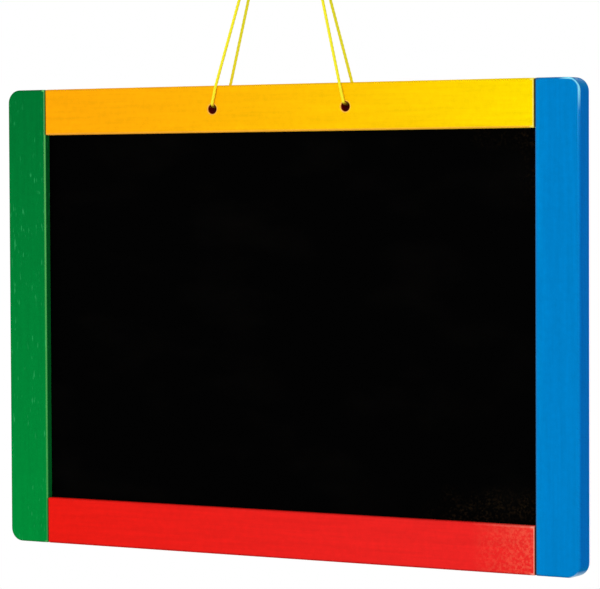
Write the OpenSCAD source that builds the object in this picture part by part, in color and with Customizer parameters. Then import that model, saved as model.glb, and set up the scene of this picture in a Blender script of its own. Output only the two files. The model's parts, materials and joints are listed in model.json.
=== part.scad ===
// Hanging magnetic drawing board. A four-colour wooden frame holds a steel-faced panel in grooves,
// and its butt joints are dowelled. One cord through two holes in the top rail gathers in a knot,
// with a small loop above it for a nail or hook. Millimetres, front towards -Y, up is +Z.
// The origin is the point in the hanging loop that rests on the nail.

/* [Frame] */
// Overall width of the board
board_w = 420; // [300:10:600]
// Overall height of the board
board_h = 300; // [220:10:420]
// Thickness of the frame
board_t = 14; // [12:0.5:20]
// Width of each stile and height of each rail
member_w = 30; // [27:1:45]
// Radius of the frame's four outer corners
corner_r = 8.5; // [4:0.5:14]
// Rounding on the long edges of every wooden piece
edge_r = 1.5; // [0.5:0.25:2.5]

/* [Panel] */
// Thickness of the hardboard core
core_t = 3; // [2:0.5:4]
// Thickness of each steel sheet
sheet_t = 0.5; // [0.3:0.1:0.8]
// How far the panel's edges reach into the grooves
panel_tongue = 5; // [3:0.5:6]
// Room left behind the panel's edges at the bottom of the grooves
panel_room = 1; // [0.5:0.25:2]
// Rounding of the steel sheets' corners
sheet_corner_r = 1.5; // [0.5:0.5:4]

/* [Dowels] */
// Diameter of a dowel
dowel_d = 6; // [4:0.5:6]
// Length of a dowel
dowel_l = 30; // [20:1:36]
// Straight flutes round a dowel, which let the glue out
dowel_flutes = 12; // [8:1:16]
// Distance of the outer dowel's axis from the rail's outer edge
dowel_edge = 7.5; // [6:0.5:8]
// Distance between the two dowels of a joint
dowel_pitch = 10.5; // [8:0.5:11]

/* [Cord] */
// Diameter of the cord
cord_d = 2; // [1.5:0.1:2]
// Diameter of the cord's holes in the top rail
hole_d = 6; // [6:0.5:8]
// Distance between the two holes
hole_span = 98; // [80:2:160]
// Distance of the holes' axes from the rail's top edge
hole_drop = 15; // [13:0.5:15]
// Height of the knot above the frame's top edge
knot_rise = 160; // [120:5:220]

/* [Hidden] */
$fn = 48;

// Levels, down from the nail
knot_drop = 20;
top_z = -knot_drop - knot_rise;
bottom_z = top_z - board_h;
mid_z = (top_z + bottom_z) / 2;
hole_z = top_z - hole_drop;

// The panel and the grooves that hold it
inner_w = board_w - 2 * member_w;
inner_h = board_h - 2 * member_w;
panel_t = core_t + 2 * sheet_t;
panel_w = inner_w + 2 * panel_tongue;
panel_h = inner_h + 2 * panel_tongue;
groove_depth = panel_tongue + panel_room;

// Dowel joints: bored to the dowel's half length in the stile and a little deeper in the rail
dowel_play = 0.05;
dowel_chamfer = 1;
flute_r = 0.35;
glue_room = 1;
hole_ease = 0.5;
cut = 1;

// A strand's route at a hole's mouth, from above the rail down over its face and in under the rim.
// Each point is [towards the board's middle, out from the face, up], from the mouth's centre.
mouth_top = [
    [3.3, 1.1, 14], [2, 1.15, 8.5], [0.9, 1.15, 4.2],
    [0.7, 1.05, 3], [0.6, 0.6, 2.25], [0.5, -0.1, 1.9], [0.4, -1, 1.8]];
mouth_shoulder = [
    [4, 1.1, 14], [2.7, 1.15, 8.5], [1.6, 1.15, 4],
    [1.3, 1.05, 2.8], [1.1, 0.6, 2.1], [0.9, -0.1, 1.75], [0.8, -1, 1.65]];
// Where the strands come to the knot, from the knot's centre
front_left_end = [0.3, 0.6, -5.9];
back_left_end = [-1.4, 3, -4.4];
front_right_end = [4.9, 0.6, -4.6];
back_right_end = [2.5, 3.2, -5.2];
// One leg of the hanging loop, from the knot's top to the nail, from the nail's point
loop_leg = [
    [1.2, 0, -14.6], [2.4, 0, -11], [3.6, 0, -8.4], [4.4, 0, -5.6],
    [4.4, 0, -3], [3.4, 0, -0.6], [1.8, 0, 0.7], [0, 0, 1]];
strand_steps = 4;
cord_sides = 8;

// The overhand knot: three lobes that cross over and under each other, opened at the top lobe, where
// its two cut ends stand up. Sizes are in cord diameters, and points are from the knot's centre.
knot_size = 0.625;
knot_steps = 40;
knot_open = 32;
cut_end = [[-0.9, -1.15, 2.3], [-0.9, -1.6, 3.4], [-1.05, -2.2, 4.4]];

// Joints of rail to stile, as [side, which rail, which dowel]
dowel_joints = [for (end = [1, -1]) for (side = [-1, 1]) for (row = [0, 1]) [side, end, row]];
function dowel_name(j) = str(
    "dowel_", j[1] > 0 ? "top" : "bottom", j[0] < 0 ? "_left" : "_right", j[2] == 0 ? "_outer" : "_inner");

// A rectangle with round corners, centred
module rounded_rect(w, h, r) {
    square([w - 2 * r, h], center = true);
    square([w, h - 2 * r], center = true);
    for (x = [-1, 1], y = [-1, 1]) translate([x * (w / 2 - r), y * (h / 2 - r)]) circle(r);
}

// A planed piece of wood, centred, with all its edges rounded over
module eased_board(w, t, h, r) {
    intersection() {
        linear_extrude(h, center = true) rounded_rect(w, t, r);
        rotate([90, 0, 0]) linear_extrude(t, center = true) rounded_rect(w, h, r);
        rotate([90, 0, 90]) linear_extrude(w, center = true) rounded_rect(t, h, r);
    }
}

// What is taken off the stile's outer corner: all but a quarter turn of the stile's own edge
module corner_waste() {
    size = corner_r + cut;
    difference() {
        translate([0, -board_t / 2 - cut, 0]) cube([size, board_t + 2 * cut, size]);
        rotate([90, 0, 0]) rotate_extrude() corner_section();
    }
}

// Half of the stile's section at the corner, from the corner's centre outwards
module corner_section() {
    square_t = board_t / 2 - edge_r;
    translate([0, -board_t / 2]) square([corner_r - edge_r, board_t]);
    translate([0, -square_t]) square([corner_r, 2 * square_t]);
    for (y = [-1, 1]) translate([corner_r - edge_r, y * square_t]) circle(edge_r);
}

// Holes for both dowels of a joint, from the joint's face inwards along +X; up is the rail's outer edge
module dowel_holes(depth) {
    for (row = [0, 1])
        translate([-cut, 0, -dowel_edge - row * dowel_pitch])
            rotate([0, 90, 0]) cylinder(d = dowel_d + 2 * dowel_play, h = depth + cut);
}

// One stile standing on the right, centred in height
module stile() {
    difference() {
        translate([(board_w - member_w) / 2, 0, 0]) eased_board(member_w, board_t, board_h, edge_r);
        for (end = [0, 1]) mirror([0, 0, end])
            translate([board_w / 2 - corner_r, 0, board_h / 2 - corner_r]) corner_waste();
        // stopped groove for the panel
        translate([inner_w / 2 - cut, -panel_t / 2, -panel_h / 2 - panel_room])
            cube([groove_depth + cut, panel_t, panel_h + 2 * panel_room]);
        for (end = [0, 1]) mirror([0, 0, end])
            translate([inner_w / 2, 0, board_h / 2]) dowel_holes(dowel_l / 2);
    }
}

// One rail at the top, centred in height on the board
module rail() {
    difference() {
        translate([0, 0, (board_h - member_w) / 2]) eased_board(inner_w, board_t, member_w, edge_r);
        // groove for the panel, run through from end to end
        translate([-inner_w / 2 - cut, -panel_t / 2, inner_h / 2 - cut])
            cube([inner_w + 2 * cut, panel_t, groove_depth + cut]);
        for (side = [0, 1]) mirror([side, 0, 0])
            translate([inner_w / 2, 0, board_h / 2]) mirror([1, 0, 0]) dowel_holes(dowel_l / 2 + glue_room);
    }
}

// A cord hole through the rail along Y, with both rims eased
module cord_hole() {
    rotate([90, 0, 0]) {
        cylinder(d = hole_d, h = board_t + 2 * cut, center = true);
        for (face = [0, 1]) mirror([0, 0, face])
            translate([0, 0, board_t / 2 - hole_ease])
                cylinder(d1 = hole_d, d2 = hole_d + 4 * hole_ease, h = 2 * hole_ease);
    }
}

// A flat sheet with rounded corners, its middle at depth y
module sheet(y, t) {
    translate([0, y, mid_z]) rotate([90, 0, 0])
        linear_extrude(t, center = true) rounded_rect(panel_w, panel_h, sheet_corner_r);
}

// A fluted dowel with chamfered ends, centred on the origin along X
module dowel() {
    rotate([0, 90, 0]) intersection() {
        linear_extrude(dowel_l, center = true) difference() {
            circle(d = dowel_d);
            for (i = [0 : dowel_flutes - 1]) rotate(i * 360 / dowel_flutes)
                translate([dowel_d / 2, 0]) circle(flute_r, $fn = 16);
        }
        rotate_extrude() polygon([
            [0, -dowel_l / 2], [dowel_d / 2 - dowel_chamfer, -dowel_l / 2],
            [dowel_d / 2 + cut, -dowel_l / 2 + dowel_chamfer + cut],
            [dowel_d / 2 + cut, dowel_l / 2 - dowel_chamfer - cut],
            [dowel_d / 2 - dowel_chamfer, dowel_l / 2], [0, dowel_l / 2]]);
    }
}

// Sweeping a round cord along points: one ring of cord_sides points at each, square to the route
function unit(v) = v / norm(v);
function heading(p, i) = unit(p[min(i + 1, len(p) - 1)] - p[max(i - 1, 0)]);
function side_of(h) = unit(cross(h, abs(h[1]) < 0.9 ? [0, 1, 0] : [1, 0, 0]));
// each ring's first direction is the last one's, laid square to the new heading, so the tube doesn't twist
function carried(p, i) = i == 0
    ? [side_of(heading(p, 0))]
    : let (done = carried(p, i - 1), h = heading(p, i), v = done[i - 1])
        concat(done, [unit(v - (v * h) * h)]);
function ring(c, h, u, r) = [for (k = [0 : cord_sides - 1])
    let (a = k * 360 / cord_sides) c + r * (cos(a) * u + sin(a) * cross(h, u))];

module cord(p) {
    n = len(p);
    across = carried(p, n - 1);
    points = [for (i = [0 : n - 1]) each ring(p[i], heading(p, i), across[i], cord_d / 2)];
    sides = [for (i = [0 : n - 2], k = [0 : cord_sides - 1])
        let (a = i * cord_sides + k, b = i * cord_sides + (k + 1) % cord_sides)
        each [[a, a + cord_sides, b], [b, a + cord_sides, b + cord_sides]]];
    first = [for (k = [0 : cord_sides - 1]) k];
    last = [for (k = [cord_sides - 1 : -1 : 0]) (n - 1) * cord_sides + k];
    polyhedron(points, concat([first], sides, [last]));
}

// A strand from the knot down to a hole and in at its mouth; side is -1 left, face is -1 front
function strand(side, face, end, mouth) =
    let (
        knot_end = [end[0], end[1], end[2] - knot_drop],
        hole = [for (q = mouth) [side * (hole_span / 2 - q[0]), face * (board_t / 2 + q[1]), hole_z + q[2]]],
        taut = [for (i = [0 : strand_steps - 1]) knot_end + (hole[0] - knot_end) * i / strand_steps])
    concat(taut, hole);
function reversed(p) = [for (i = [len(p) - 1 : -1 : 0]) p[i]];
left_route = concat(
    strand(-1, -1, front_left_end, mouth_top), reversed(strand(-1, 1, back_left_end, mouth_shoulder)));
right_route = concat(
    strand(1, -1, front_right_end, mouth_top), reversed(strand(1, 1, back_right_end, mouth_top)));
mirrored_leg = [for (i = [len(loop_leg) - 2 : -1 : 0]) [-loop_leg[i][0], loop_leg[i][1], loop_leg[i][2]]];
loop_route = concat(loop_leg, mirrored_leg);

// The knot's line, once round from one side of its opening to the other
function knot_point(a) =
    cord_d * knot_size * [sin(a) + 2.5 * sin(2 * a), -1.6 * sin(3 * a), 2.5 * cos(2 * a) - cos(a)];
knot_turn = (360 - 2 * knot_open) / knot_steps;
knot_line = concat(
    [for (q = reversed(cut_end)) cord_d * [-q[0], -q[1], q[2]]],
    [for (i = [0 : knot_steps]) knot_point(180 + knot_open + i * knot_turn)],
    cord_d * cut_end);
knot_route = [for (q = knot_line) q - [0, 0, knot_drop]];
// the least gap between the knot's turns, past the points beside each other
beside = 5;
knot_gap = min([for (i = [0 : len(knot_line) - 1], k = [i + beside : 1 : len(knot_line) - 1])
    norm(knot_line[i] - knot_line[k])]) - cord_d;
echo(knot_gap = knot_gap);

module left_stile() { color("#00853A") translate([0, 0, mid_z]) mirror([1, 0, 0]) stile(); }

module right_stile() { color("#0080C7") translate([0, 0, mid_z]) stile(); }

module top_rail() {
    color("#FDC005") difference() {
        translate([0, 0, mid_z]) rail();
        for (side = [-1, 1]) translate([side * hole_span / 2, 0, hole_z]) cord_hole();
    }
}

module bottom_rail() { color("#E91F18") translate([0, 0, mid_z]) mirror([0, 0, 1]) rail(); }

module panel_core() { color("#6E4A2C") sheet(0, core_t); }

module chalk_sheet() { color("#0A0A0A") sheet(-(core_t + sheet_t) / 2, sheet_t); }

module white_sheet() { color("#F2F3F1") sheet((core_t + sheet_t) / 2, sheet_t); }

// One dowel in its joint, half in the stile and half in the rail
module joint_dowel(j) {
    height = board_h / 2 - dowel_edge - j[2] * dowel_pitch;
    color("#D9B382") translate([j[0] * inner_w / 2, 0, mid_z + j[1] * height]) dowel();
}

module cord_left() { color("#EFE83C") cord(left_route); }

module cord_right() { color("#EFE83C") cord(right_route); }

module cord_knot() { color("#EFE83C") cord(knot_route); }

module hanging_loop() { color("#EFE83C") cord(loop_route); }

left_stile();
right_stile();
top_rail();
bottom_rail();
panel_core();
chalk_sheet();
white_sheet();
for (j = dowel_joints) joint_dowel(j);
cord_left();
cord_right();
cord_knot();
hanging_loop();
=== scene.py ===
import json
import math

import bmesh
import bpy
from mathutils import Matrix, Vector
from mathutils.geometry import interpolate_bezier


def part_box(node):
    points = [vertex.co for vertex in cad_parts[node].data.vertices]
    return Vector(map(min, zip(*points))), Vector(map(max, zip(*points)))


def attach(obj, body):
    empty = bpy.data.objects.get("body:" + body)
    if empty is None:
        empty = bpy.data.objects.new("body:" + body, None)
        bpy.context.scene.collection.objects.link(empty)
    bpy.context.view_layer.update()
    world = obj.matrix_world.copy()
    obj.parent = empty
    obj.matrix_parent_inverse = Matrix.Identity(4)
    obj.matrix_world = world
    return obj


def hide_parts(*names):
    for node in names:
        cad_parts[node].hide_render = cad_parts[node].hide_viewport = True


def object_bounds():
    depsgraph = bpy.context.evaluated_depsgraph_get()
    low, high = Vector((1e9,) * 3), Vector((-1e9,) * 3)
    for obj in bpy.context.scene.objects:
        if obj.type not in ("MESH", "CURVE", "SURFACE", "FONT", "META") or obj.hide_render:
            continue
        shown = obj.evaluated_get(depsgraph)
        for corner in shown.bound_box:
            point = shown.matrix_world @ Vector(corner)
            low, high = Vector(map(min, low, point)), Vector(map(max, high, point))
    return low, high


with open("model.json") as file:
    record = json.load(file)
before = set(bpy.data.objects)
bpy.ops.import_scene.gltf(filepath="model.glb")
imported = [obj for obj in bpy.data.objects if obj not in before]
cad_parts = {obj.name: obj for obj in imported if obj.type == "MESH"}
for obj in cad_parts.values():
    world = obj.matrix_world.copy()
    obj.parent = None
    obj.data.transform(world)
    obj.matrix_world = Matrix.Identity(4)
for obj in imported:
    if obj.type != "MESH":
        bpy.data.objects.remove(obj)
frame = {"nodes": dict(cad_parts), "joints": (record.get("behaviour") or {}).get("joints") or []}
cad_low, cad_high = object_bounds()
nodes = frame["nodes"]
scene = bpy.context.scene
scene.view_settings.view_transform = "Standard"

# The camera. It stands two metres off, well to the right of the board's front and a little above its
# middle, and looks slightly down through a long lens that takes in the board and some of its cord.
picture_width_px = 600
focal_length_px = 3047
eye = Vector((0.9972, -1.6509, -0.2453))
view_turn = math.radians(30.84)
view_dip = math.radians(2.01)
view_roll = math.radians(-0.26)

camera = bpy.data.objects.new("camera", bpy.data.cameras.new("camera"))
camera.data.lens = camera.data.sensor_width * focal_length_px / picture_width_px
aim = Matrix.Rotation(view_turn, 4, "Z") @ Matrix.Rotation(math.pi / 2 - view_dip, 4, "X")
camera.matrix_world = Matrix.Translation(eye) @ aim @ Matrix.Rotation(view_roll, 4, "Z")
scene.collection.objects.link(camera)
scene.camera = camera

# The cord. One thin cord of three twisted and dyed yarns runs down the front of the top rail, through
# a hole and up again behind it, on either side, and all four strands hang from one knot.
cord_d = 0.002
yarns = 3
sides_per_yarn = 6
yarn_furrow = 0.12
lay_length = 0.009
ring_step = 0.0005
hole_span = 0.098
hole_drop = 0.015
hole_d = 0.006
into_knot = 0.0035
strand_steps = 4
knot_centre = Vector(frame["joints"][0]["pos_m"])
rail_low, rail_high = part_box("top_rail")
hole_z = rail_high.z - hole_drop
# From a hole mouth's centre: towards the board's middle, out from the face, up
mouth_top = [
    (0.0033, 0.0011, 0.0140), (0.0020, 0.00115, 0.0085), (0.0009, 0.00115, 0.0042),
    (0.0007, 0.00105, 0.0030), (0.0006, 0.0006, 0.00225), (0.0005, -0.0001, 0.0019),
    (0.0004, -0.0010, 0.0018)]
mouth_shoulder = [
    (0.0040, 0.0011, 0.0140), (0.0027, 0.00115, 0.0085), (0.0016, 0.00115, 0.0040),
    (0.0013, 0.00105, 0.0028), (0.0011, 0.0006, 0.0021), (0.0009, -0.0001, 0.00175),
    (0.0008, -0.0010, 0.00165)]
# Where the strands come to the knot, from the knot's centre
front_left_end = Vector((0.0003, 0.0006, -0.0059))
back_left_end = Vector((-0.0014, 0.0030, -0.0044))
front_right_end = Vector((0.0049, 0.0006, -0.0046))
back_right_end = Vector((0.0025, 0.0032, -0.0052))


def strand(side, face, end, mouth):
    """One strand's points, from inside the knot down to a hole and in at its mouth."""
    face_y = face * rail_high.y
    hole = [
        Vector((side * (hole_span / 2 - inward), face_y + face * out, hole_z + up))
        for inward, out, up in mouth]
    start = knot_centre + end
    taut = [start.lerp(hole[0], step / strand_steps) for step in range(strand_steps)]
    return [start.lerp(knot_centre, into_knot / end.length)] + taut + hole


def smooth_route(points):
    """Points a short step apart on one smooth curve through the given ones."""
    headings = [
        (after - before).normalized()
        for before, after in zip(points[:1] + points, points[1:] + points[-1:])]
    route = [points[0]]
    for i in range(len(points) - 1):
        run = (points[i + 1] - points[i]).length
        leave = points[i] + headings[i] * run / 3
        arrive = points[i + 1] - headings[i + 1] * run / 3
        count = max(2, round(run / ring_step) + 1)
        route += interpolate_bezier(points[i], leave, arrive, points[i + 1], count)[1:]
    return route


def route_length(route):
    return sum((there - here).length for here, there in zip(route, route[1:]))


def laid_cord(name, route):
    """A twisted cord along a route: a ring with a furrow between the yarns, extruded and turned."""
    shape = bmesh.new()
    furrow = shape.verts.layers.float.new("furrow")
    bmesh.ops.create_circle(shape, cap_ends=True, segments=sides_per_yarn * yarns, radius=cord_d / 2)
    for vert in shape.verts:
        depth = (1 - math.cos(yarns * math.atan2(vert.co.y, vert.co.x))) / 2
        vert.co *= 1 - yarn_furrow * depth
        vert[furrow] = depth
    shape.faces.ensure_lookup_table()
    end = shape.faces[0]
    heading = (route[1] - route[0]).normalized()
    stand = Vector((0, 0, 1)).rotation_difference(heading).to_matrix()
    bmesh.ops.rotate(shape, cent=(0, 0, 0), matrix=stand, verts=shape.verts)
    bmesh.ops.translate(shape, vec=route[0], verts=shape.verts)
    for here, there in zip(route, route[1:]):
        grown = bmesh.ops.extrude_face_region(shape, geom=[end, *end.edges])["geom"]
        end = next(part for part in grown if isinstance(part, bmesh.types.BMFace))
        step = there - here
        turn = heading.rotation_difference(step.normalized()).to_matrix()
        heading = step.normalized()
        twist = Matrix.Rotation(step.length / lay_length * math.tau, 3, heading)
        bmesh.ops.translate(shape, vec=step, verts=end.verts)
        bmesh.ops.rotate(shape, cent=there, matrix=twist @ turn, verts=end.verts)
    bmesh.ops.recalc_face_normals(shape, faces=shape.faces)
    for face in shape.faces:
        face.smooth = len(face.verts) == 4
    mesh = bpy.data.meshes.new(name)
    shape.to_mesh(mesh)
    shape.free()
    piece = bpy.data.objects.new(name, mesh)
    scene.collection.objects.link(piece)
    return piece


left_front = strand(-1, -1, front_left_end, mouth_top)
left_back = strand(-1, 1, back_left_end, mouth_shoulder)
right_front = strand(1, -1, front_right_end, mouth_top)
right_back = strand(1, 1, back_right_end, mouth_top)
left_route = smooth_route(left_front + left_back[::-1])
right_route = smooth_route(right_front + right_back[::-1])
left_cord = laid_cord("left_cord", left_route)
right_cord = laid_cord("right_cord", right_route)
for piece, route, node in ((left_cord, left_route, "cord_left"), (right_cord, right_route, "cord_right")):
    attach(piece, "board")
    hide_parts(node)
    route_length(route)


class Wire:
    """An output in a material's node tree. A sum with wires and numbers adds its Math nodes."""

    def __init__(self, tree, socket=None):
        self.tree = tree
        self.socket = socket

    def node(self, kind, settings=None, sockets=None, output=0):
        """Adds a node: its settings are set first, then the values or wires of its sockets."""
        made = self.tree.nodes.new("ShaderNode" + kind)
        for name, value in (settings or {}).items():
            setattr(made, name, value)
        for key, value in (sockets or {}).items():
            if isinstance(value, Wire):
                self.tree.links.new(value.socket, made.inputs[key])
            else:
                made.inputs[key].default_value = value
        return Wire(self.tree, made.outputs[output] if made.outputs else None)

    def maths(self, operation, *values):
        return self.node("Math", {"operation": operation}, dict(enumerate(values)))

    def __add__(self, other):
        return self.maths("ADD", self, other)

    __radd__ = __add__

    def __mul__(self, other):
        return self.maths("MULTIPLY", self, other)

    __rmul__ = __mul__

    def __sub__(self, other):
        return self.maths("SUBTRACT", self, other)

    def __rsub__(self, other):
        return self.maths("SUBTRACT", other, self)

    def __pow__(self, other):
        return self.maths("POWER", self, other)

    def __abs__(self):
        return self.maths("ABSOLUTE", self)

    def clamp(self):
        return self.node("Clamp", {}, {"Value": self})

    def rise(self, low, high):
        """0 at low, 1 at high, straight between them and level past them."""
        return self.node("MapRange", {}, {"Value": self, "From Min": low, "From Max": high})

    def past(self, low):
        """How far the value is past a low one, and 0 before it."""
        return self.maths("MAXIMUM", self - low, 0)

    def between(self, first, last):
        """A colour that goes from the first one at 0 to the last one at 1."""
        return self.node("Mix", {"data_type": "RGBA"}, {0: self, 6: first, 7: last}, output=2)

    def shaded(self, level):
        """This colour made lighter or darker by a level about 1."""
        return self.node("VectorMath", {"operation": "SCALE"}, {"Vector": self, "Scale": level})

    def noise(self, per_metre, detail=2, stretch=(1, 1, 1)):
        """Noise over this place, drawn out along an axis whose stretch is below 1."""
        drawn = self.node("Mapping", {}, {"Vector": self, "Scale": stretch})
        return self.node("TexNoise", {}, {"Vector": drawn, "Scale": per_metre, "Detail": detail}, "Fac")

    def relief(self, strength, depth):
        """The Normal of a surface that this height roughens, where a height of 1 is one depth."""
        return self.node("Bump", {}, {"Height": self, "Strength": strength, "Distance": depth}, "Normal")


def screen_colour(red, green, blue):
    """The shader's colour for one given as it shows on a screen, 0 to 255."""
    return tuple(
        level / 12.92 if level <= 0.04045 else ((level + 0.055) / 1.055) ** 2.4
        for level in (red / 255, green / 255, blue / 255)) + (1,)


def new_finish(name):
    """An empty material, the place on the piece it covers, and that place's x, y and z."""
    material = bpy.data.materials.new(name)
    material.use_nodes = True
    material.node_tree.nodes.clear()
    place = Wire(material.node_tree).node("TexCoord", output="Object")
    return material, place, [place.node("SeparateXYZ", {}, {"Vector": place}, axis) for axis in "XYZ"]


def surface(place, sockets):
    """Gives the material that covers a place its surface."""
    shader = place.node("BsdfPrincipled", {}, sockets)
    place.node("OutputMaterial", {}, {"Surface": shader})


cord_colour = screen_colour(255, 248, 48)
# The darker colour in the furrows between the yarns is painted shade.
furrow_shade_colour = screen_colour(246, 224, 30)
furrow_shade_share = 0.6
# Where the cord passes below a hole's top it turns dark brown: painted shade inside the hole.
hole_shade_colour = screen_colour(110, 60, 6)
dyed_cord, place, (_, _, z) = new_finish("dyed_cord")
fibres = place.noise(per_metre=2600, detail=3)
dye = place.noise(per_metre=90)
depth = place.node("Attribute", {"attribute_name": "furrow"}, output="Fac")
in_hole = z.rise(hole_z + hole_d / 2, hole_z + hole_d / 4)
colour = (furrow_shade_share * depth).between(cord_colour, furrow_shade_colour)
colour = colour.shaded(0.97 + 0.05 * dye + 0.05 * (fibres - 0.5))
surface(place, {
    "Base Color": in_hole.between(colour, hole_shade_colour), "Roughness": 0.62 + 0.2 * fibres,
    "Normal": fibres.relief(strength=0.15, depth=0.0001), "Specular IOR Level": 0.1,
    "Sheen Weight": 0.4, "Sheen Roughness": 0.5, "Sheen Tint": cord_colour})

# The knot and the loop. The strands are tied in one overhand knot with two cut ends standing up out of
# it, and the same cord makes a small loop above, which hangs on a nail.
knot_size = 0.625
knot_spread = 2.5
knot_weave = 1.6
knot_steps = 40
knot_open = math.radians(32)
# In cord diameters, from the knot's centre
cut_end = [(-0.9, -1.15, 2.3), (-0.9, -1.6, 3.4), (-1.05, -2.2, 4.4)]
# From the nail's point
leg_root = (0.0010, 0, -0.0183)
loop_leg = [
    (0.0012, 0, -0.0146), (0.0024, 0, -0.0110), (0.0036, 0, -0.0084), (0.0044, 0, -0.0056),
    (0.0044, 0, -0.0030), (0.0034, 0, -0.0006), (0.0018, 0, 0.0007), (0, 0, 0.0010)]


def knot_point(turn):
    """A point on the overhand knot's line, where turn goes once round from 0 to tau."""
    return knot_centre + cord_d * knot_size * Vector((
        math.sin(turn) + knot_spread * math.sin(2 * turn),
        -knot_weave * math.sin(3 * turn),
        knot_spread * math.cos(2 * turn) - math.cos(turn)))


knot_turn = (math.tau - 2 * knot_open) / knot_steps
knot_line = [knot_point(math.pi + knot_open + step * knot_turn) for step in range(knot_steps + 1)]
last_tail = [knot_centre + cord_d * Vector(point) for point in cut_end]
first_tail = [knot_centre + cord_d * Vector((-x, -y, z)) for x, y, z in reversed(cut_end)]
knot = laid_cord("overhand_knot", smooth_route(first_tail + knot_line + last_tail))
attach(knot, "knot")
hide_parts("cord_knot")

right_leg = [Vector(point) for point in [leg_root] + loop_leg]
left_leg = [Vector((-point.x, point.y, point.z)) for point in right_leg[-2::-1]]
loop_route = smooth_route(right_leg + left_leg)
loop_cord = laid_cord("nail_loop", loop_route)
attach(loop_cord, "hanger")
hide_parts("hanging_loop")
route_length(loop_route)
for piece in (left_cord, right_cord, knot, loop_cord):
    piece.data.materials.append(dyed_cord)

# The left stile. Planed wood with rounded edges, brushed with green lacquer, which is matt on the flats
# and glossy on the inner edge, where a painted highlight draws a paler line that fades downwards. Painted
# shade darkens its outer sides and the inner wall. Brush strokes and a few pale flecks of grain run up
# it.
edge_r = 0.0015
corner_r = 0.0085
edge_band = 0.002
seam_w = 0.0008
seam_dark = screen_colour(46, 38, 12)
left_seam = 0.65
right_seam = 0.95
green_below = screen_colour(1, 139, 56)
green_above = screen_colour(1, 113, 48)
green_fleck = screen_colour(44, 164, 92)
fleck_share = 0.7
green_edge_highlight = screen_colour(98, 204, 100)
green_painted_shade = 0.25
stroke_draw = 0.05
upright_strokes = (1, 1, stroke_draw)
brush_level = 0.22
mottle_level = 0.14
peel_level = 0.1
edge_gloss = 0.05
glint_edge_gloss = 0.2
stile_low, stile_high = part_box("left_stile")
board_half_w = -stile_low.x
board_half_t = stile_high.y
board_half_h = (stile_high.z - stile_low.z) / 2
board_mid_z = (stile_high.z + stile_low.z) / 2
opening_half_w = -stile_high.x
opening_half_h = rail_low.z - board_mid_z


def past_corners(x, z):
    """How far a place lies past the corners' centres: sideways, up or down, and straight out."""
    past_x = abs(x).past(board_half_w - corner_r)
    past_z = abs(z - board_mid_z).past(board_half_h - corner_r)
    return past_x, past_z, (past_x ** 2 + past_z ** 2) ** 0.5


def outer_side(x, z):
    """0 on the board's faces, and over the rounded edge up to 1 on its outer sides and corners."""
    return past_corners(x, z)[2].rise(corner_r - edge_r, corner_r)


def along_edge(across, edge, inwards):
    """1 in a band along an edge of a piece and 0 further in, where inwards is 1 or -1 on that axis."""
    return across.rise(edge + inwards * 2 * edge_band, edge + inwards * edge_band)


def rounded_edges(node, x, y, z):
    """1 half way round a frame piece's rounded edges and the frame's corners, and 0 on its flats."""
    low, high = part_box(node)
    over = []
    for along, least, most in zip((x, y, z), low, high):
        half = (most - least) / 2
        over.append(abs(along - (least + most) / 2).rise(half - edge_r, half))
    straight = over[0] * over[1] + over[1] * over[2] + over[2] * over[0]
    return (2 * (straight + outer_side(x, z) * over[1])).clamp()


def joint_seam(x, z):
    """Above 0 where a rail's end meets a stile. Lacquer half fills the joints on the left."""
    darkness = left_seam + (right_seam - left_seam) * x.rise(-opening_half_w, opening_half_w)
    across = abs(abs(x) - opening_half_w).rise(seam_w, seam_w / 2)
    return darkness * across * abs(z - board_mid_z).rise(opening_half_h, opening_half_h + seam_w)


def lacquer(place, colour, strokes, gloss):
    """Brushed lacquer: its colour with the strokes, matt on the flats, glossy where gloss is above 0."""
    brush = place.noise(per_metre=480, detail=4, stretch=strokes)
    mottle = place.noise(per_metre=260)
    peel = place.noise(per_metre=1000)
    level = 1 + brush_level * (brush - 0.5) + mottle_level * (mottle - 0.5) + peel_level * (peel - 0.5)
    surface(place, {
        "Base Color": colour.shaded(level), "Roughness": 0.5 + 0.2 * peel,
        "Normal": (0.6 * brush + 0.4 * peel).relief(strength=0.1, depth=0.0003),
        "Specular IOR Level": 0.004, "Coat Weight": gloss, "Coat Roughness": 0.2, "Coat IOR": 1.5})


def dress(node, material):
    """Gives a CAD piece of the board its finish."""
    nodes[node].data.materials.clear()
    nodes[node].data.materials.append(material)


green_lacquer, place, (x, y, z) = new_finish("green_lacquer")
height = z.rise(stile_low.z, stile_high.z)
edges = rounded_edges("left_stile", x, y, z)
glint_edge = edges * along_edge(x, stile_high.x, inwards=-1)
inner_wall = x.rise(stile_high.x - edge_r / 2, stile_high.x)
pores = place.noise(per_metre=620, detail=1, stretch=(1, 1, 0.22)).rise(0.66, 0.76)
fleck = pores * place.noise(per_metre=60).rise(0.4, 0.55)
# The paler line along the inner edge is a painted highlight, fading towards the foot; the coat there is
# real gloss.
ridge_highlight = (0.55 + 0.4 * height) * glint_edge.rise(0.6, 1)
colour = height.between(green_below, green_above)
colour = (fleck_share * fleck).between(colour, green_fleck)
colour = ridge_highlight.between(colour, green_edge_highlight)
colour = joint_seam(x, z).between(colour, seam_dark)
# Painted shade: the outer sides and the inner wall of the recess are darkened.
colour = colour.shaded(1 - green_painted_shade * outer_side(x, z) - green_painted_shade * inner_wall)
lacquer(place, colour, upright_strokes, edge_gloss * edges + glint_edge_gloss * glint_edge)
dress("left_stile", green_lacquer)
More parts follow.
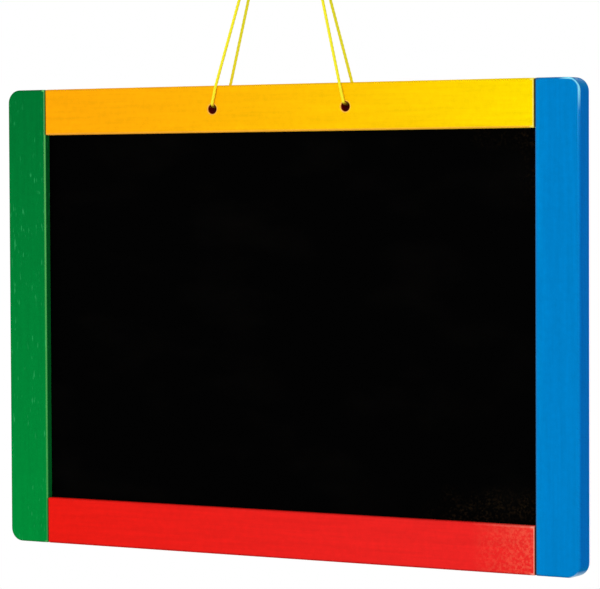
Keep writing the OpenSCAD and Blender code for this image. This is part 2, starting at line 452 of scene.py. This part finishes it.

# The right stile. The same wood and shape in blue lacquer, a little paler beside its inner edge. Its
# inner rounded edge is greyed with painted shade and reflection, its outer side and ends are darkened
# with painted shade, a painted highlight runs along its top edge and top outer corner, and a painted
# reflection lies on its lower outer corner.
blue = screen_colour(0, 127, 199)
blue_inner = screen_colour(0, 137, 208)
inner_band = 0.010
blue_side_shade = screen_colour(0, 120, 210)
blue_edge_shade_and_reflection = screen_colour(52, 98, 144)
turned_shade_share = 0.7
blue_end_shade = 0.3
blue_edge_highlight = screen_colour(140, 230, 255)
highlight_down = 0.045
corner_reflection = screen_colour(196, 232, 252)
corner_reflection_share = 0.85
blue_edge_gloss = 0.03
corner_gloss = 0.05
right_low, right_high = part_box("right_stile")
blue_lacquer, place, (x, y, z) = new_finish("blue_lacquer")
edges = rounded_edges("right_stile", x, y, z)
turned = edges * along_edge(x, right_low.x, inwards=1)
glint_edge = edges * z.rise(right_high.z - highlight_down, right_high.z - corner_r / 2)
glint_edge = glint_edge * (0.4 + 0.6 * x.rise(right_high.x - 2 * corner_r, right_high.x - corner_r))
past_x, past_z, past_corner = past_corners(x, z)
corner_side = past_corner.rise(corner_r - edge_r / 2, corner_r - edge_r / 4)
corner_side = corner_side * past_x.rise(0, corner_r / 3) * past_z.rise(corner_r / 2, corner_r * 0.9)
end_side = abs(z - board_mid_z).rise(board_half_h - edge_r, board_half_h)
streak = place.noise(per_metre=320, detail=3, stretch=upright_strokes).rise(0.3, 0.7)
colour = (x.rise(right_low.x + inner_band, right_low.x) * streak).between(blue, blue_inner)
# The outer side face takes a darker, bluer colour: painted shade.
colour = x.rise(right_high.x - edge_r / 2, right_high.x).between(colour, blue_side_shade)
# Painted shade and reflection grey the inner rounded edge.
colour = (turned_shade_share * turned).between(colour, blue_edge_shade_and_reflection)
# Painted shade darkens the top and bottom ends.
colour = colour.shaded(1 - blue_end_shade * end_side)
# A painted highlight runs along the top edge and round the top outer corner; the coat there is real
# gloss.
colour = glint_edge.rise(0.6, 1).between(colour, blue_edge_highlight)
# A painted reflection lies on the lower outer corner.
colour = (corner_reflection_share * corner_side * z.rise(board_mid_z, right_low.z)).between(colour, corner_reflection)
colour = joint_seam(x, z).between(colour, seam_dark)
gloss = blue_edge_gloss * edges + glint_edge_gloss * glint_edge + corner_gloss * corner_side
lacquer(place, colour, upright_strokes, gloss)
dress("right_stile", blue_lacquer)

# The top rail. The same wood in a yellow that was brushed on thicker towards the left, where it is almost
# orange. Two holes with eased rims take the cord. A painted highlight rings each rim and runs along the
# lower edge and the right end's edge, and painted shade darkens the outer edges and fills the inside of
# the holes.
orange_left = screen_colour(253, 168, 8)
yellow_right = screen_colour(254, 221, 1)
yellow_drift = 1.6
yellow_edge_shade = 0.15
yellow_end_highlight = screen_colour(255, 234, 96)
yellow_foot_highlight = screen_colour(255, 176, 60)
foot_highlight_share = 0.8
foot_gloss = 0.1
hole_interior_shade = screen_colour(134, 4, 0)
rim_highlight = screen_colour(255, 190, 96)
rim_highlight_share = 0.6
rim_w = 0.0006
rim_soft = 0.0004
level_strokes = (stroke_draw, 1, 1)
yellow_lacquer, place, (x, y, z) = new_finish("yellow_lacquer")
edges = rounded_edges("top_rail", x, y, z)
glint_edge = edges * along_edge(x, rail_high.x, inwards=-1)
foot = edges * along_edge(z, rail_low.z, inwards=1)
from_hole = ((abs(x) - hole_span / 2) ** 2 + (z - hole_z) ** 2) ** 0.5
rim_r = hole_d / 2 + rim_w
colour = (x.rise(rail_low.x, rail_high.x) ** yellow_drift).between(orange_left, yellow_right)
# Painted shade darkens the outer edges.
colour = colour.shaded(1 - yellow_edge_shade * outer_side(x, z))
# A painted highlight runs along the lower edge; the coat there is real gloss.
colour = (foot_highlight_share * foot).between(colour, yellow_foot_highlight)
# A painted highlight runs along the rounded edge at the right end.
colour = glint_edge.rise(0.1, 0.7).between(colour, yellow_end_highlight)
# A painted highlight rings each hole's eased rim.
colour = (rim_highlight_share * from_hole.rise(rim_r + rim_soft, rim_r)).between(colour, rim_highlight)
# The dark inside of each hole is painted shade.
colour = from_hole.rise(hole_d / 2 + rim_soft, hole_d / 2).between(colour, hole_interior_shade)
colour = joint_seam(x, z).between(colour, seam_dark)
lacquer(place, colour, level_strokes, edge_gloss * edges + foot_gloss * foot + glint_edge_gloss * glint_edge)
dress("top_rail", yellow_lacquer)

# The bottom rail. The same wood in red. At its right end a fine paler speckle and a pale wash are a
# painted reflection, and its edges there carry a painted highlight; painted shade darkens its outer
# edges.
red = screen_colour(233, 27, 19)
red_right = screen_colour(234, 38, 36)
red_speckled_reflection = screen_colour(248, 96, 72)
speckle_end = 0.044
speckle_reflection_share = 0.6
reflection_wash_share = 0.15
red_edge_shade = 0.5
red_edge_highlight = screen_colour(252, 142, 122)
top_highlight_share = 0.35
low_rail_low, low_rail_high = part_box("bottom_rail")
red_lacquer, place, (x, y, z) = new_finish("red_lacquer")
edges = rounded_edges("bottom_rail", x, y, z)
at_end = x.rise(low_rail_high.x - speckle_end, low_rail_high.x - edge_band)
at_right = along_edge(x, low_rail_high.x, inwards=-1)
at_top = along_edge(z, low_rail_high.z, inwards=-1)
by_face = abs(y).rise(board_half_t - edge_r, board_half_t)
glint_edge = edges * by_face * (at_right + top_highlight_share * at_top * at_end)
reflection_wash = at_end * z.rise(low_rail_low.z, low_rail_high.z)
speckled_reflection = at_end * place.noise(per_metre=640, detail=4).rise(0.42, 0.62)
colour = x.rise(low_rail_low.x, low_rail_high.x).between(red, red_right)
# Painted reflection: a pale wash and a fine speckle at the right end.
colour = (reflection_wash_share * reflection_wash).between(colour, red_speckled_reflection)
colour = (speckle_reflection_share * speckled_reflection).between(colour, red_speckled_reflection)
# Painted shade darkens the outer edges.
colour = colour.shaded(1 - red_edge_shade * outer_side(x, z))
# A painted highlight runs along the right end's edge and the top edge near it.
colour = glint_edge.rise(0, 0.7).between(colour, red_edge_highlight)
colour = joint_seam(x, z).between(colour, seam_dark)
lacquer(place, colour, level_strokes, edge_gloss * edges + glint_edge_gloss * glint_edge)
dress("bottom_rail", red_lacquer)

# The drawing face. A thin steel sheet in matt black lacquer for chalk and magnets, held in the grooves
# all round. Wiping has left faint clouds on it, and a faint warm painted reflection of the rails lies
# along the edges on the right.
black = (0.0004, 0.0004, 0.0004, 1)
chalk_trace = (0.0028, 0.0024, 0.0020, 1)
rail_reflection = (0.0130, 0.0078, 0.0032, 1)
reflection_along = 0.085
reflection_up = 0.024
reflection_wide = 0.014
reflection_down = 0.055
thin_reflection = 0.6
chalk_lacquer, place, (x, _, z) = new_finish("chalk_lacquer")
tooth = place.noise(per_metre=1500)
wipe = place.noise(per_metre=14, detail=5, stretch=(1, 1, 2.2)).rise(0.5, 0.8)
from_right = opening_half_w - x
from_foot = z - (board_mid_z - opening_half_h)
from_top = board_mid_z + opening_half_h - z
at_foot = from_right.rise(reflection_along, reflection_along / 2) * from_foot.rise(reflection_up, reflection_up / 4)
at_side = from_right.rise(reflection_wide, reflection_wide / 4) * from_top.rise(reflection_down, reflection_down / 3)
at_top = from_right.rise(reflection_down, reflection_down / 2) * from_top.rise(reflection_wide, reflection_wide / 4)
patch = (at_foot + thin_reflection * at_side + thin_reflection * at_top).clamp()
cloud = place.noise(per_metre=70, detail=3).rise(0.38, 0.62)
# The warm patches on the right are a painted reflection of the rails.
painted_reflection = patch * cloud * place.noise(per_metre=700, detail=3).rise(0.48, 0.7)
colour = (wipe * tooth.rise(0.35, 0.65)).between(black, chalk_trace)
surface(place, {
    "Base Color": painted_reflection.between(colour, rail_reflection), "Roughness": 0.5 + 0.15 * wipe,
    "Normal": tooth.relief(strength=0.15, depth=0.0002), "Specular IOR Level": 0.004})
dress("chalk_sheet", chalk_lacquer)

# The writing face. The same steel in white enamel on the back, glossy and a little wavy, with the grey
# haze that wiped pens leave.
enamel_white = screen_colour(240, 241, 239)
pen_haze = screen_colour(222, 224, 226)
haze_share = 0.5
white_enamel, place, _ = new_finish("white_enamel")
haze = place.noise(per_metre=11, detail=5, stretch=(1, 1, 2.5)).rise(0.45, 0.75)
wave = place.noise(per_metre=160)
surface(place, {
    "Base Color": (haze_share * haze).between(enamel_white, pen_haze), "Roughness": 0.16 + 0.14 * haze,
    "Normal": wave.relief(strength=0.06, depth=0.0005), "Specular IOR Level": 0.5})
dress("white_sheet", white_enamel)

# The core. Brown hardboard of pressed wood fibre that stiffens the two sheets, unpainted, with its
# edges in the grooves.
fibre_dark = screen_colour(88, 58, 34)
fibre_light = screen_colour(132, 94, 60)
hardboard, place, _ = new_finish("hardboard")
strands = place.noise(per_metre=700, detail=4, stretch=(0.4, 1, 1))
felt = 0.6 * strands + 0.4 * place.noise(per_metre=2400)
surface(place, {
    "Base Color": felt.rise(0.3, 0.7).between(fibre_dark, fibre_light), "Roughness": 0.75 + 0.2 * felt,
    "Normal": felt.relief(strength=0.4, depth=0.0003), "Specular IOR Level": 0.2})
dress("panel_core", hardboard)

# The dowels. Turned beech pegs with straight flutes, glued half in a stile and half in a rail, two to
# a joint. Short dark rays fleck the pale wood along its length.
beech_pale = screen_colour(222, 184, 138)
beech_ray = screen_colour(172, 122, 78)
ray_share = 0.7
beech, place, _ = new_finish("beech")
ray = place.noise(per_metre=1800, detail=1, stretch=(0.16, 1, 1)).rise(0.58, 0.7)
grain = place.noise(per_metre=900, detail=4, stretch=(0.05, 1, 1))
colour = (ray_share * ray).between(beech_pale, beech_ray).shaded(0.85 + 0.3 * grain)
surface(place, {
    "Base Color": colour, "Roughness": 0.55 + 0.2 * grain,
    "Normal": grain.relief(strength=0.2, depth=0.0002), "Specular IOR Level": 0.3})
for node in nodes:
    if node.startswith("dowel_"):
        dress(node, beech)

# The floor. A plain pale floor below the hanging board, which keeps the board's shadow near it and
# goes over to the white of the background further off.
floor_drop = 0.15
floor_half = 6
shadow_reach = 0.55
white_from = 0.95
paper_white = (0.82, 0.82, 0.82, 1)
pure_white = (1, 1, 1, 1)


def shows_background(wire):
    """1 for rays that see the background: the camera's own, and those off gloss and through glass."""
    kinds = ("Is Camera Ray", "Is Glossy Ray", "Is Transmission Ray")
    camera_ray, glossy_ray, through_ray = [wire.node("LightPath", output=kind) for kind in kinds]
    return (camera_ray + glossy_ray + through_ray).clamp()


shape = bmesh.new()
bmesh.ops.create_grid(shape, x_segments=1, y_segments=1, size=floor_half)
bmesh.ops.translate(shape, vec=(0, 0, cad_low[2] - floor_drop), verts=shape.verts)
floor = bpy.data.objects.new("floor", bpy.data.meshes.new("floor"))
shape.to_mesh(floor.data)
shape.free()
scene.collection.objects.link(floor)

pale_floor, place, (x, y, _) = new_finish("pale_floor")
away = (x ** 2 + y ** 2) ** 0.5
share = shows_background(place) * away.rise(shadow_reach, white_from)
paper = place.node("BsdfDiffuse", {}, {"Color": paper_white})
glow = place.node("Emission", {}, {"Color": pure_white, "Strength": 1})
mixed = place.node("MixShader", {}, {0: share, 1: paper, 2: glow})
place.node("OutputMaterial", {}, {"Surface": mixed})
floor.data.materials.append(pale_floor)

# The light. A white room lights the board softly from all sides, a soft lamp straight in front adds to
# its face and draws a line of light along the rounded edges, and a weaker one stands behind.
room_level = 0.64
world = bpy.data.worlds.new("white_room")
world.use_nodes = True
world.node_tree.nodes.clear()
scene.world = world
wire = Wire(world.node_tree)
strength = room_level + (1 - room_level) * shows_background(wire)
room = wire.node("Background", {}, {"Color": pure_white, "Strength": strength})
wire.node("OutputWorld", {}, {"Surface": room})


def lamp(name, turn, rise, away, size, power):
    """A soft square lamp aimed at the board's middle, turned from the front to the right and raised."""
    light = bpy.data.lights.new(name, "AREA")
    light.size = size
    light.energy = power
    turn, rise = math.radians(turn), math.radians(rise)
    back = Vector((math.sin(turn) * math.cos(rise), -math.cos(turn) * math.cos(rise), math.sin(rise)))
    body = bpy.data.objects.new(name, light)
    body.location = Vector((0, 0, board_mid_z)) + back * away
    body.rotation_euler = back.to_track_quat("Z", "Y").to_euler()
    body.visible_camera = False
    scene.collection.objects.link(body)


lamp("front_lamp", turn=2, rise=8, away=3.2, size=0.7, power=37)
lamp("back_lamp", turn=180, rise=20, away=2.4, size=1.0, power=16)
